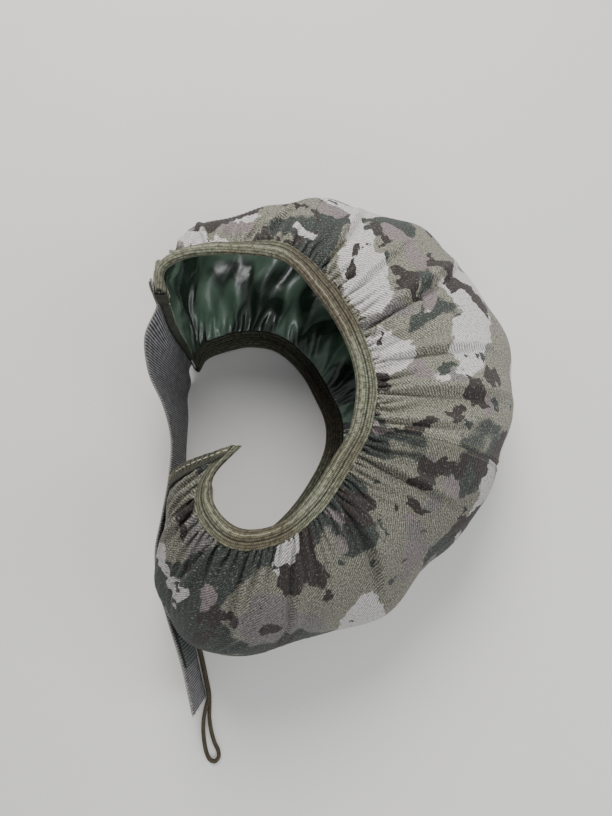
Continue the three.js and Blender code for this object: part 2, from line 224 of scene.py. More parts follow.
# ---- Meshes --------------------------------------------------------------------------------------------
def new_object(name, points, faces, material, uv):
    """Mesh object from points in millimetres. uv has one pair for each point, in metres of cloth."""
    mesh = bpy.data.meshes.new(name)
    points = np.array(points, float)
    points[:, 2] = np.maximum(points[:, 2], 0)
    mesh.from_pydata((points * MM).tolist(), [],
                     faces if isinstance(faces, list) else faces.tolist())
    mesh.update()
    layer = mesh.uv_layers.new(name="cloth")
    index = np.zeros(len(mesh.loops), np.int32)
    mesh.loops.foreach_get("vertex_index", index)
    layer.data.foreach_set("uv", np.asarray(uv, np.float32)[index].ravel())
    mesh.polygons.foreach_set("use_smooth", [True] * len(mesh.polygons))
    mesh.materials.append(material)
    piece = bpy.data.objects.new(name, mesh)
    scene.collection.objects.link(piece)
    return piece


def grid_uv(run, girth):
    """uv of a grid of points, in metres: run along its rows and girth along its columns."""
    return np.stack(np.broadcast_arrays(run, girth), axis=-1) * MM


def quads(rows, columns, start=0, wrap=False):
    """Faces of a grid of points; wrap joins its last column to its first."""
    index = np.arange(rows * columns).reshape(rows, columns) + start
    right = np.roll(index, -1, axis=1) if wrap else index[:, 1:]
    left = index if wrap else index[:, :-1]
    return np.stack([left[:-1], right[:-1], right[1:], left[1:]], axis=-1).reshape(-1, 4)


def face_out(piece):
    """Turns the faces of a closed piece so that they all point out."""
    work = bmesh.new()
    work.from_mesh(piece.data)
    bmesh.ops.recalc_face_normals(work, faces=work.faces)
    work.to_mesh(piece.data)
    work.free()
    return piece


def sheet_solid(name, outer, inner, uv, material):
    """Closed sheet between two grids of points of one shape."""
    rows, columns = outer.shape[:2]
    count = rows * columns
    faces = [quads(rows, columns), quads(rows, columns, count)[:, ::-1]]
    index = np.arange(count).reshape(rows, columns)
    border = np.concatenate([index[0, :-1], index[:-1, -1], index[-1, :0:-1], index[:0:-1, 0]])
    after = np.roll(border, -1)
    faces.append(np.stack([after, border, border + count, after + count], axis=-1))
    points = np.concatenate([outer.reshape(-1, 3), inner.reshape(-1, 3)])
    both = np.concatenate([uv.reshape(-1, 2)] * 2)
    return face_out(new_object(name, points, np.concatenate(faces), material, both))


def tube_solid(name, rings, uv, material):
    """Closed tube through rings of points, (rings, sides, 3)."""
    rows, sides = rings.shape[:2]
    faces = quads(rows, sides, wrap=True).tolist()
    faces.append(list(range(sides)))
    faces.append(list(range((rows - 1) * sides, rows * sides))[::-1])
    return face_out(new_object(name, rings.reshape(-1, 3), faces, material, uv.reshape(-1, 2)))


# ---- Gathered cloth ------------------------------------------------------------------------------------
def pull(points, free, a, b, rest, stiffness):
    """Moves paired points towards their rest distance."""
    gap = points[b] - points[a]
    length = np.linalg.norm(gap, axis=-1)
    weight = free[a] + free[b]
    share = stiffness * (length - rest) / np.maximum(length * weight, 1e-6)
    points[a] += gap * (share * free[a])[..., None]
    points[b] -= gap * (share * free[b])[..., None]


def cut(start, stop, step, axis):
    """Index of every step-th row (axis 0) or column (axis 1)."""
    piece = slice(start, stop, step)
    return (piece, slice(None)) if axis == 0 else (slice(None), piece)


def relax(points, base, out, rest_u, rest_v, free, low, high, rounds):
    """Lets a grid of cloth find its rest lengths, rest_u along its rows and rest_v across them.
    Every point stays between low and high from its base."""
    rows, columns = points.shape[:2]
    shear = np.sqrt((rest_u[:-1] ** 2 + rest_u[1:] ** 2) / 2 + (rest_v[:, :-1] ** 2 + rest_v[:, 1:] ** 2) / 2)
    span_u = rest_u[:, :-1] + rest_u[:, 1:]
    span_v = rest_v[:-1] + rest_v[1:]
    left, right = slice(None, -1), slice(1, None)
    for _ in range(rounds):
        for k in (0, 1):
            for axis, count, rest in ((1, columns, rest_u), (0, rows, rest_v)):
                last = count - 1 - (count - 1 - k) % 2
                here = cut(k, last, 2, axis)
                pull(points, free, here, cut(k + 1, last + 1, 2, axis), rest[here], 0.9)
        for k in (0, 1):
            last = rows - 1 - (rows - 1 - k) % 2
            for one, other in ((left, right), (right, left)):
                here, there = (slice(k, last, 2), one), (slice(k + 1, last + 1, 2), other)
                pull(points, free, here, there, shear[k:last:2], 0.12)
        for k in range(4):
            for axis, size, span, stiffness in ((1, columns, span_u, 0.07), (0, rows, span_v, 0.12)):
                count = len(range(k + 2, size, 4))
                if count:
                    here = cut(k, k + 4 * count - 3, 4, axis)
                    pull(points, free, here, cut(k + 2, k + 4 * count - 1, 4, axis), span[here], stiffness)
        depth = ((points - base) * out).sum(-1)
        points += out * ((np.clip(depth, low, high) - depth) * (free > 0))[..., None]
        points[..., 2] = np.maximum(points[..., 2], np.minimum(base[..., 2], ABOVE_FLOOR))
    return points


def gather_pattern(u, s, length, seed, spacing, reach, tall):
    """Heights that start the gathers: ridges at uneven places u, each fading over its own reach in s."""
    chance = np.random.default_rng(seed)
    places = np.cumsum(chance.uniform(0.5, 1.5, int(length / spacing * 1.7))) * spacing
    places = places[places < length]
    height = np.zeros(np.broadcast(u, s).shape)
    for place in places:
        up = tall * chance.uniform(0.5, 1.5)
        lean = chance.uniform(-0.3, 0.3)
        far = reach * chance.uniform(0.4, 1.6)
        wide = spacing * chance.uniform(0.2, 0.34)
        ridge = np.exp(-((u - place - lean * s) / (wide * (1 + s / 50))) ** 2)
        height += up * ridge * np.exp(-(s / far) ** 2)
    return height


def normals_of(points):
    return unit(np.cross(np.gradient(points, axis=1), np.gradient(points, axis=0)))


def lumps(u, s, seed, lengths, tall):
    """Broad swellings, uneven along the band and across it."""
    chance = np.random.default_rng(seed)
    height = np.zeros(np.broadcast(u, s).shape)
    for length in lengths:
        a, b, lean = chance.uniform(0, 2 * np.pi, 3)
        along = np.cos(2 * np.pi * u / length + a + 0.6 * np.sin(s / 17 + lean))
        height += along * np.cos(s / length * 2.2 + b)
    return tall * height


# Places where the stuffed look of the cloth stands out past the CAD: station, q, height and half widths in
# millimetres along and across the band.
SWELLS = [
    (0.9, 3.4, 3.5, 16, 22),
    (4.1, 3.4, 4.0, 17, 24),
    (9.9, 3.9, 6.0, 24, 26),
    (11.2, 3.7, 3.5, 20, 22),
    (12.9, 3.4, 3.0, 12, 18),
    (5.2, 3.6, 2.0, 12, 22),
]

# Long folds out from the upper rim: station and q at both ends, height and half width in millimetres.
FOLDS = [
    (2.4, 1.0, 2.2, 2.6, 2.5, 5.0),
    (3.4, 1.0, 3.8, 2.8, 3.0, 5.0),
    (4.75, 1.0, 4.6, 3.0, 5.0, 6.0),
    (5.45, 1.0, 5.35, 2.5, 3.5, 5.0),
    (6.1, 1.0, 5.85, 3.3, 6.0, 7.0),
    (6.75, 1.0, 6.85, 2.6, 4.0, 5.0),
    (7.3, 1.0, 7.35, 3.2, 4.5, 6.5),
    (7.8, 1.0, 7.7, 2.4, 3.5, 4.5),
    (8.7, 1.0, 8.75, 2.6, 4.0, 5.0),
    (9.5, 1.0, 9.8, 3.0, 4.0, 6.0),
    (10.6, 1.0, 10.75, 2.8, 3.5, 5.5),
    (11.5, 1.0, 11.45, 2.8, 3.5, 5.5),
    (12.4, 1.0, 12.6, 2.6, 3.5, 5.0),
    (13.6, 1.0, 13.5, 2.4, 3.0, 4.5),
]


def long_folds(t, q, along):
    """Each fold is steep on one side, where it drops into a crease."""
    height = np.zeros(t.shape)
    for t0, q0, t1, q1, tall, wide in FOLDS:
        f = np.clip((q - q0) / (q1 - q0), 0, 1)
        x = (t - t0 - (t1 - t0) * f) * along
        fade = np.sin(np.pi * np.clip((q - q0 + 0.45) / (q1 - q0 + 0.7), 0, 1)) * (q < q1 + 0.25)
        height += tall * fade * np.exp(-(x / np.where(x > 0, wide * 0.42, wide)) ** 2)
        height -= 0.35 * tall * fade * np.exp(-((x - wide * 0.75) / (wide * 0.35)) ** 2)
    return height


def swellings(t, q, along, across):
    height = np.zeros(t.shape)
    for at_t, at_q, tall, wide, deep in SWELLS:
        height += tall * np.exp(-((t - at_t) * along / wide) ** 2 - ((q - at_q) * across / deep) ** 2)
    return height


class Cloth:
    """One gathered layer of the whole band: its relaxed points, its uv and its rest lengths."""

    def __init__(self, pace, rows_flank, depth, lining, seed):
        equator = lambda t: surface(t, np.full_like(t, EQUATOR))
        ts = np.concatenate([even_steps(equator, 0.0, SEAM, pace), even_steps(equator, SEAM, LAST, pace)[1:]])
        f = np.linspace(0, 1, rows_flank)
        upper = np.concatenate([[0, 0.45, 0.85], 1 + (EQUATOR - 1) * (0.42 * f + 0.58 * f ** 1.7)])
        qs = np.concatenate([upper, (END_Q - upper)[::-1][1:]])
        t, q = np.meshgrid(ts, qs)
        self.seam = int(np.argmin(np.abs(ts - SEAM)))
        self.ts, self.qs = ts, qs
        s_rim = np.minimum(q, END_Q - q)
        on_flank = smooth(s_rim, 0.9, 1.5)
        out = normal(t, q)
        base = surface(t, q) + out * (depth[0] + (depth[1] - depth[0]) * on_flank)[..., None]
        self.u = arc(np.broadcast_to(base[np.argmax(qs >= EQUATOR)], base.shape), 1)
        across = arc(base, 0)
        total = self.u[0, -1]
        side = np.maximum(np.where(q <= EQUATOR, across, across[-1:] - across) - (WIDTH - FOLD), 0)
        ends = smooth(np.minimum(t, LAST - t), 0.15, 0.6)
        near_seam = np.exp(-((t - SEAM) / 0.1) ** 2)
        start = self.start_shape(side, q, total, seed, lining)
        swell = lumps(self.u, side, seed + 7, (47, 71, 103) if not lining else (29, 43, 68), 0.9)
        swell = swell * smooth(side, 2, 25) * ends
        if lining:
            shape = -2.8 * on_flank * ends + swell * 2.0
            low, high = -9.5 * on_flank * ends, 0.25 * on_flank
            lower = 0.12 + 0.88 * smooth(q, EQUATOR - 0.4, EQUATOR + 0.4)
            tucks = 0.7 * np.exp(-(side / 9) ** 1.6) + 0.05 * np.exp(-(side / 45) ** 2)
            fullness = 1 + on_flank * lower * tucks
        else:
            patch = smooth(t, 12.0, 12.4) * smooth(q, 3.3, 3.8) * (1 - smooth(q, 6.2, 6.7))
            strap = 1 - smooth(t, 0.75, 1.4)
            room = (1 - np.clip(patch + strap, 0, 1)) * ends
            puffed = swellings(t, q, total / LAST, float(across.max()) / END_Q)
            shape = (long_folds(t, q, total / LAST) * on_flank + swell + puffed) * room
            low = -2.0 * on_flank * ends
            high = 0.15 + 8.0 * smooth(s_rim, 0.93, 1.14) * room
            tucks = 1.05 * np.exp(-(side / 13) ** 1.4) + 0.09 * np.exp(-(side / 45) ** 2)
            fullness = 1 + smooth(s_rim, 0.85, 1.0) * tucks
        shaped = base + out * np.clip(shape, low, high)[..., None]
        fullness = 1 + (fullness - 1) * ends * (1 - 0.35 * near_seam)
        rest_u = np.linalg.norm(np.diff(shaped, axis=1), axis=-1)
        rest_v = np.linalg.norm(np.diff(shaped, axis=0), axis=-1) * (1 + 0.02 * on_flank[1:])
        plain = np.linalg.norm(np.diff(base, axis=1), axis=-1)
        widest = plain.max(axis=0, keepdims=True)
        full = np.maximum(np.minimum(fullness[:, 1:], 1.15 * widest / plain), 1 + 0.3 * (fullness[:, 1:] - 1))
        rest_u = rest_u * full
        free = np.where((s_rim < 0.9) | (t <= 0) | (t >= LAST), 0.0, 1.0)
        first = np.clip(shape + start * (-1 if lining else 1) * on_flank * ends, low, high)
        points = base + out * first[..., None]
        self.points = relax(points, base, out, rest_u, rest_v, free, low, high, 300)
        self.normals = normals_of(self.points)
        self.rest_u, self.rest_v, self.across = rest_u, rest_v, across

    @staticmethod
    def start_shape(side, q, total, seed, lining):
        u = np.linspace(0, total, side.shape[1])[None]
        scales = (((16.0, 9.0, 1.8), (41.0, 24.0, 2.2)) if lining
                  else ((8.0, 9.0, 1.8), (14.0, 17.0, 2.0), (27.0, 30.0, 1.6)))
        height = np.zeros(side.shape)
        for k, (spacing, reach, tall) in enumerate(scales):
            above = gather_pattern(u, side, total, seed + 2 * k, spacing, reach, tall)
            below = gather_pattern(u, side, total, seed + 2 * k + 1, spacing, reach, tall)
            height += np.where(q <= EQUATOR, above * (0.35 if lining else 1.0), below)
        return height

    def panel(self, first, last, thickness, groove):
        """Outer and inner grids of columns first to last, with the cloth turned in at the seam."""
        dip = groove * np.exp(-((self.u - self.u[:, self.seam:self.seam + 1]) / 0.9) ** 2)[..., None]
        part = slice(first, last + 1)
        outer = (self.points - self.normals * dip)[:, part]
        inner = outer - self.normals[:, part] * thickness
        uv = np.stack([self.u - self.u[:, first:first + 1], self.across], axis=-1)[:, part] * MM
        area = (self.rest_u[:-1, first:last] * self.rest_v[:, first:last]).sum() * MM * MM
        flat = (float(self.across.max()) * MM, float(self.u[0, last] - self.u[0, first]) * MM)
        return outer, inner, uv, min(area, flat[0] * flat[1]), flat


# ---- Materials -----------------------------------------------------------------------------------------
class Nodes:
    """Short way to write a material's nodes."""

    def __init__(self, name, colour, roughness):
        self.material = bpy.data.materials.new(name)
        self.material.use_nodes = True
        self.tree = self.material.node_tree
        self.shader = self.tree.nodes["Principled BSDF"]
        self.shader.inputs["Base Color"].default_value = (*colour, 1)
        self.shader.inputs["Roughness"].default_value = roughness
        self.uv = self.add("ShaderNodeUVMap", uv_map="cloth").outputs[0]

    def add(self, kind, inputs=None, **settings):
        """A node with its settings, then its inputs by name or number."""
        node = self.tree.nodes.new(kind)
        for key, value in settings.items():
            setattr(node, key, value)
        for key, value in (inputs or {}).items():
            self.link(node.inputs[key], value)
        return node

    def link(self, socket, value):
        if isinstance(value, bpy.types.NodeSocket):
            self.tree.links.new(value, socket)
        elif isinstance(value, tuple) and len(value) == 3 and socket.type == "RGBA":
            socket.default_value = (*value, 1)
        else:
            socket.default_value = value

    def set(self, **values):
        for key, value in values.items():
            self.link(self.shader.inputs[key.replace("_", " ")], value)

    def math(self, operation, a, b=0.0, c=0.0):
        return self.add("ShaderNodeMath", {0: a, 1: b, 2: c}, operation=operation).outputs[0]

    def moved(self, vector, scale=(1, 1, 1), turn=0.0, shift=(0, 0, 0)):
        return self.add("ShaderNodeMapping", {
            "Vector": vector, "Scale": scale, "Location": shift,
            "Rotation": (0, 0, math.radians(turn))}).outputs[0]

    def noise(self, vector, scale, detail=2.0, roughness=0.5, distortion=0.0, colour=False):
        node = self.add("ShaderNodeTexNoise", {
            "Vector": vector, "Scale": scale, "Detail": detail, "Roughness": roughness,
            "Distortion": distortion}, noise_dimensions="3D")
        return node.outputs["Color" if colour else "Fac"]

    def wave(self, vector, pitch, direction="X", distortion=0.0, detail=0.0, detail_scale=1.0):
        """Bands at a pitch in metres."""
        node = self.add("ShaderNodeTexWave", {
            "Vector": vector, "Scale": math.pi / pitch / 10, "Distortion": distortion, "Detail": detail,
            "Detail Scale": detail_scale}, wave_type="BANDS", bands_direction=direction)
        return node.outputs["Fac"]

    def step(self, value, low, high):
        """0 below low and 1 above high."""
        return self.add("ShaderNodeMapRange", {"Value": value, "From Min": low, "From Max": high},
                        interpolation_type="SMOOTHSTEP").outputs["Result"]

    def mix(self, share, a, b):
        return self.add("ShaderNodeMix", {0: share, 6: a, 7: b}, data_type="RGBA").outputs[2]

    def over(self, colour, share, strength, tone):
        """The colour with a share of a tone over it."""
        return self.mix(self.math("MULTIPLY", share, strength), colour, tone)

    def warp(self, vector, scale, amount, detail=2.0):
        """The vector moved about by noise."""
        noise = self.noise(vector, scale, detail, colour=True)
        less = self.add("ShaderNodeVectorMath", {0: noise, 1: (0.5, 0.5, 0.5)}, operation="SUBTRACT")
        sized = self.add("ShaderNodeVectorMath", {0: less.outputs[0], "Scale": amount}, operation="SCALE")
        return self.add("ShaderNodeVectorMath", {0: vector, 1: sized.outputs[0]}, operation="ADD").outputs[0]

    def bump(self, height, distance, strength=1.0, under=None):
        node = self.add("ShaderNodeBump", {"Height": height, "Distance": distance, "Strength": strength})
        if under is not None:
            self.link(node.inputs["Normal"], under)
        self.link(self.shader.inputs["Normal"], node.outputs[0])
        return node.outputs[0]


def srgb(*parts):
    """Linear colour from 0 to 255 parts."""
    return tuple((c / 255 / 12.92) if c < 10.3 else ((c / 255 + 0.055) / 1.055) ** 2.4 for c in parts)


def shaded(shade):
    """srgb with every colour made lighter or darker by one factor."""
    return lambda *parts: tuple(shade * c for c in srgb(*parts))


def camouflage(shift, grey_edge, slate_edge, light_edge, shade):
    """Six-colour camouflage print on a coarse twill. A lower edge gives that tone more of the cloth. shade
    makes every colour lighter or darker by one factor; where it darkens, it is painted shade.
    """
    tint = shaded(shade)
    n = Nodes("camouflage", tint(120, 124, 104), 0.92)
    place = n.moved(n.uv, shift=shift)
    jagged = n.warp(n.warp(place, 26, 0.020, 1.0), 210, 0.0075, 3.0)
    fleck = n.noise(place, 1150, 2.0, 0.75)

    def flecked(low, high, dark, lit):
        return n.mix(n.step(fleck, low, high), tint(*dark), tint(*lit))

    colour = flecked(0.42, 0.58, (102, 101, 88), (184, 181, 163))
    grey = flecked(0.40, 0.60, (108, 105, 102), (166, 161, 156))
    light = flecked(0.30, 0.60, (205, 201, 196), (243, 240, 236))
    slate = flecked(0.45, 0.65, (52, 58, 55), (104, 110, 102))
    brown = flecked(0.48, 0.68, (56, 48, 46), (98, 88, 84))
    mauve = flecked(0.35, 0.65, (128, 116, 116), (172, 160, 158))
    # Blobs of each tone: their place in the noise, stretch, scale, detail, edge and softness.
    for tone, x, y, stretch, scale, detail, edge, soft in (
            (grey, 3.1, 0.7, 1, 19, 2.0, grey_edge, 0.03),
            (slate, 1.3, 4.2, 1, 16, 1.5, slate_edge, 0.02),
            (mauve, 2.2, 9.6, 1, 27, 1.5, 0.64, 0.01),
            (light, 7.9, 2.4, 1.2, 16, 1.5, light_edge, 0.006),
            (brown, 5.3, 8.8, 1.35, 30, 2.0, 0.585, 0.006),
            (slate, 8.6, 1.9, 1, 60, 1.0, 0.70, 0.01)):
        field = n.noise(n.moved(jagged, (1, stretch, 1), 0, (x, y, 0)), scale, detail)
        colour = n.mix(n.step(field, edge, edge + soft), colour, tone)
    ribs = n.wave(n.moved(place, turn=58), 0.0014, "X", 0.9, 1.0, 60.0)
    worn = n.noise(place, 620, 3.0, 0.7)
    colour = n.over(colour, n.step(ribs, 0.7, 0.15), 0.62, tint(40, 41, 37))
    colour = n.over(colour, n.step(worn, 0.52, 0.36), 0.45, tint(46, 46, 42))
    colour = n.over(colour, n.step(worn, 0.56, 0.72), 0.35, tint(206, 204, 196))
    n.set(Base_Color=colour, Specular_IOR_Level=0.22, Sheen_Weight=0.1, Sheen_Roughness=0.5)
    under = n.bump(worn, 0.0006, 0.6)
    n.bump(ribs, 0.0003, 0.7, under)
    return n.material


def satin():
    n = Nodes("lining", srgb(52, 74, 60), 0.26)
    # Painted reflection: one noise lays large soft patches of bright sheen, with dark green between them,
    # into the base colour. The same noise makes the roughness uneven.
    painted_sheen_noise = n.noise(n.uv, 24, 2.0, 0.4, 0.5)
    n.set(Base_Color=n.mix(n.step(painted_sheen_noise, 0.42, 0.58), srgb(42, 56, 45), srgb(112, 138, 118)))
    n.set(Roughness=n.math("MULTIPLY_ADD", painted_sheen_noise, 0.12, 0.22))
    n.set(Specular_IOR_Level=0.8, Sheen_Weight=0.2, Sheen_Roughness=0.3)
    under = n.bump(n.noise(n.uv, 60, 2.0, distortion=0.8), 0.0018, 0.3)
    n.bump(n.wave(n.uv, 0.0005, "Y"), 0.00003, 0.2, under)
    return n.material


def binding_cloth(line_at, groove_at, shade):
    """Sage tape with fine ribs across it. line_at is the frayed pale line, which on the lower binding also
    stands in as painted highlight along its fold, and groove_at is the groove, darkened as painted shade.
    shade makes every colour darker by one factor: painted shade for the lower binding.
    """
    tint = shaded(shade)
    n = Nodes("binding", srgb(120, 122, 100), 0.8)
    split = n.add("ShaderNodeSeparateXYZ")
    n.link(split.inputs[0], n.uv)
    v = split.outputs[1]
    uneven = n.noise(n.uv, 420, 3.0, 0.6)
    moved_v = n.math("MULTIPLY_ADD", n.noise(n.moved(n.uv, (1, 0, 1)), 110, 3.0), 0.0022,
                     n.math("SUBTRACT", v, 0.0011))
    ribs = n.wave(n.uv, 0.00085, "X", 0.7, 1.0, 90.0)
    lanes = n.wave(n.uv, 0.0019, "Y", 0.8, 1.0, 25.0)
    patchy = n.noise(n.moved(n.uv, (1, 0, 1)), 13, 1.0)
    sage = n.mix(n.step(uneven, 0.3, 0.7), tint(92, 94, 76), tint(164, 167, 142))
    brown = n.mix(n.step(uneven, 0.3, 0.7), tint(76, 70, 56), tint(130, 122, 100))
    colour = n.mix(n.step(patchy, 0.44, 0.58), sage, brown)
    colour = n.over(colour, n.step(ribs, 0.65, 0.1), 0.55, tint(48, 47, 36))
    colour = n.over(colour, n.step(lanes, 0.5, 0.05), 0.72, tint(50, 46, 34))
    # A pale frayed thread line. On the lower binding it also stands in as painted highlight along the fold.
    pale_line_and_highlight = n.step(n.math("ABSOLUTE", n.math("SUBTRACT", moved_v, line_at)), 0.0005, 0.00015)
    broken = n.math("MULTIPLY", n.step(uneven, 0.30, 0.52), 0.5)
    colour = n.over(colour, pale_line_and_highlight, broken, tint(204, 202, 174))
    # Painted shade: the tape is darkened along the line of its groove.
    groove_painted_shade = n.step(n.math("ABSOLUTE", n.math("SUBTRACT", v, groove_at)), 0.0009, 0.0003)
    colour = n.over(colour, groove_painted_shade, 0.6, tint(30, 30, 22))
    n.set(Base_Color=colour, Specular_IOR_Level=0.25, Sheen_Weight=0.1)
    under = n.bump(n.noise(n.uv, 600, 3.0), 0.0003, 0.5)
    height = n.math("MULTIPLY_ADD", lanes, 0.6, n.math("MULTIPLY_ADD", pale_line_and_highlight, 0.7, ribs))
    n.bump(height, 0.00028, 0.9, under)
    return n.material


def ribbed(name, dark, lit, rib_pitch, rib_depth, roughness=0.85):
    """Woven tape: ribs along v, with colour lighter on their crests and darker in their troughs, painted
    highlight and painted shade, and with wear that lightens it in places.
    """
    n = Nodes(name, lit, roughness)
    ribs = n.wave(n.uv, rib_pitch, "X", 0.6, 1.0, 80.0)
    worn = n.noise(n.uv, 240, 4.0, 0.65)
    # Painted highlight and painted shade: lit on the rib crests and dark in their troughs, with wear noise on
    # top.
    shade = n.math("MULTIPLY_ADD", ribs, 0.45, n.math("MULTIPLY", worn, 0.6))
    n.set(Base_Color=n.mix(n.step(shade, 0.2, 1.0), dark, lit))
    n.set(Specular_IOR_Level=0.25)
    under = n.bump(n.noise(n.uv, 500, 3.0), 0.0003, 0.5)
    n.bump(ribs, rib_depth, 0.9, under)
    return n.material


def thread(name, colour):
    n = Nodes(name, colour, 0.6)
    twist = n.wave(n.moved(n.uv, turn=35), 0.0005, "X")
    n.set(Base_Color=n.over(colour, twist, 0.4, tuple(0.35 * c for c in colour)))
    n.bump(twist, 0.0001, 0.6)
    return n.material


def fleecy(name, dark, lit):
    n = Nodes(name, dark, 0.95)
    pile = n.noise(n.uv, 1300, 4.0, 0.8)
    n.set(Base_Color=n.mix(n.step(pile, 0.35, 0.7), dark, lit))
    n.set(Sheen_Weight=0.12)
    n.bump(pile, 0.0008, 0.9)
    return n.material


def pale_floor():
    n = Nodes("floor", srgb(226, 224, 220), 0.8)
    n.set(Base_Color=n.mix(n.noise(n.uv, 3.0), srgb(222, 220, 216), srgb(230, 228, 224)))
    return n.material


# Both panels have the same print. The patch side's has more slate and less light tone, and all its colours
# are darkened to 0.72 against the strap side's 1.05: painted shade for that side of the mask.
CAMO_STRAP = camouflage((0.05, 0.13, 0.0), 0.60, 0.56, 0.55, 1.05)
CAMO_PATCH = camouflage((0.37, 0.21, 0.0), 0.57, 0.495, 0.59, 0.72)
SATIN = satin()
HEM = ribbed("hem_tape", srgb(32, 33, 29), srgb(92, 92, 82), 0.0008, 0.0002)
WEBBING = ribbed("webbing", srgb(40, 40, 42), srgb(176, 174, 176), 0.00145, 0.0005, 0.7)
ELASTIC = ribbed("elastic", srgb(28, 28, 26), srgb(70, 70, 62), 0.0008, 0.0002)
HOOK = fleecy("hook_tape", srgb(14, 15, 15), srgb(44, 46, 44))
PILE = fleecy("pile_tape", srgb(34, 44, 40), srgb(78, 92, 84))
LOOP = ribbed("loop_cord", srgb(42, 37, 29), srgb(112, 102, 84), 0.0011, 0.0004)
THREAD_OLIVE = thread("thread_olive", srgb(112, 110, 86))
THREAD_GREY = thread("thread_grey", srgb(136, 132, 126))
THREAD_PALE = thread("thread_pale", srgb(206, 200, 186))
THREAD_TEAL = thread("thread_teal", srgb(146, 164, 156))

# ---- Floor ---------------------------------------------------------------------------------------------
FLOOR_HALF = 1600.0


def make_floor():
    corners = np.array([(-1, -1, 0), (1, -1, 0), (1, 1, 0), (-1, 1, 0)], float) * FLOOR_HALF
    floor = new_object("floor", corners, [(0, 1, 2, 3)], pale_floor(), corners[:, :2] * MM)


make_floor()

# ---- How pieces follow the joints ----------------------------------------------------------------------
ACROSS_SEAM = np.array([-0.26, -0.966, 0.0])    # square to the front seam, seen from above
SEAM_BEND = (-0.025, 0.018)                     # where the cloth starts and stops bending, along that way


AT_SEAM = ("strap_side", "patch_side", *(tuple(ACROSS_SEAM * d) for d in SEAM_BEND))


def attach(piece, to, slot, *nodes):
    """Rides a piece on one body. Given a joint instead (both bodies, start and end of its bend), it bakes the
    piece where it stands and does not blend it.
    """
    if isinstance(to, str):
        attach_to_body(piece, to)
    else:
        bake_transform(piece)
    if nodes:
        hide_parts(*nodes)


# ---- Hang loop: the route's points as in the CAD -------------------------------------------------------
LOOP_ROUTE = np.array([
    (-89, -130.3, 1.9), (-87.4, -135.5, 1.8), (-85.2, -143.9, 1.7), (-83.2, -152, 1.7), (-81.3, -160.1, 1.7),
    (-81, -167.5, 1.7), (-80.8, -174.5, 1.7), (-79.6, -181.5, 1.7), (-77.2, -189, 1.7),
    (-74.6, -194, 1.7), (-74, -198, 1.7), (-76.6, -200.8, 1.7), (-80.2, -199, 1.7), (-82.6, -194, 1.7),
    (-84, -187.5, 1.8), (-84.6, -181, 2.4), (-84.2, -174, 3.6), (-82.8, -167, 4.7), (-81.3, -160, 5.1),
    (-83.2, -152, 5.1), (-85.2, -143.9, 5.1), (-87.4, -135.5, 5.1), (-89, -130.3, 5.2),
], float)
LOOP_DIAMETER = 2.8


def tube_rings(path, radius, sides):
    """Rings round a path, with the surface's uv. radius may differ for each ring and side."""
    way = unit(np.gradient(path, axis=0))
    up = np.array([0.0, 0.0, 1.0])
    side = unit(np.cross(way, up))
    other = np.cross(side, way)
    angle = np.linspace(0, 2 * np.pi, sides, endpoint=False)
    angle = np.broadcast_to(angle, (len(path), sides))
    radius = np.broadcast_to(radius, angle.shape)
    rings = path[:, None] + (side[:, None] * np.cos(angle)[..., None]
                             + other[:, None] * np.sin(angle)[..., None]) * radius[..., None]
    return rings, grid_uv(arc(path)[:, None], np.arange(sides) * radius.mean())


def make_hang_loop():
    steps = np.linspace(0, len(LOOP_ROUTE) - 1, 240)
    path = spline(LOOP_ROUTE, steps)
    sides = 14
    run = arc(path)[:, None]
    around = np.linspace(0, 2 * np.pi, sides, endpoint=False)[None]
    braid = 0.10 * np.sin(2 * around + run * 2.2) * np.sin(2 * around - run * 2.2)
    rings, uv = tube_rings(path, LOOP_DIAMETER / 2 - 0.06 + braid, sides)
    piece = tube_solid("hang_loop_cord", rings, uv, LOOP)
    length = arc(path)[-1] * MM
    attach(piece, "strap_tail", "loop_cord", "hang_loop")


make_hang_loop()

# ---- Shell and lining ----------------------------------------------------------------------------------
def make_cloth():
    """Shell and lining, each in two panels that meet at the front seam."""
    shell = Cloth(1.45, 42, (0.0, 0.0), False, 11)
    lining = Cloth(2.6, 26, (-1.6, -3.4), True, 31)
    layers = (("shell", shell, 0.8, 0.9, (CAMO_STRAP, CAMO_PATCH), "camouflage"),
              ("lining", lining, 0.5, -0.6, (SATIN, SATIN), "lining"))
    for layer, cloth, thickness, groove, materials, slot in layers:
        ends = (("strap_side", 0, cloth.seam), ("patch_side", cloth.seam, len(cloth.ts) - 1))
        for (side, first, last), material in zip(ends, materials):
            outer, inner, uv, area, flat = cloth.panel(first, last, thickness, groove)
            piece = sheet_solid(f"{layer}_cloth_{side}", outer, inner, uv, material)
            attach(piece, AT_SEAM, slot, f"{layer}_{side}")
    return shell, lining


SHELL, LINING = make_cloth()


# ---- Bindings ------------------------------------------------------------------------------------------
BINDING_THICK = 1.0
ELASTIC_DIAMETER = 2.1
SEWN_AT = 9.9               # stitching of the binding, from its fold


# Outer face of the folded tape, from its sewn edge to its fold: s out from the fold, n outside the cloth.
TAPE_FACE = np.array([
    (12.0, 0.75), (11.85, 1.05), (11.5, 1.28), (11.0, 1.3), (10.5, 1.15), (10.2, 0.85), (9.9, 0.6),
    (9.6, 0.85), (9.3, 1.15), (8.9, 1.35), (8.3, 1.45), (7.7, 1.35), (7.3, 1.1), (7.05, 0.95), (6.8, 1.15),
    (6.3, 1.55), (5.7, 1.8), (5.0, 1.95), (4.3, 2.0), (3.7, 1.9), (3.3, 1.7), (3.0, 1.5),
])
PALE_LINE, TAPE_GROOVE = 3.6, 7.05
TUCKED = 4.0                # how far the lower binding turns back at the patch side's end
TUCK_STATIONS = (13.4, 14.4)
LOWER_FACE = 1.28           # the lower binding's underside is pressed flat on what it lies on


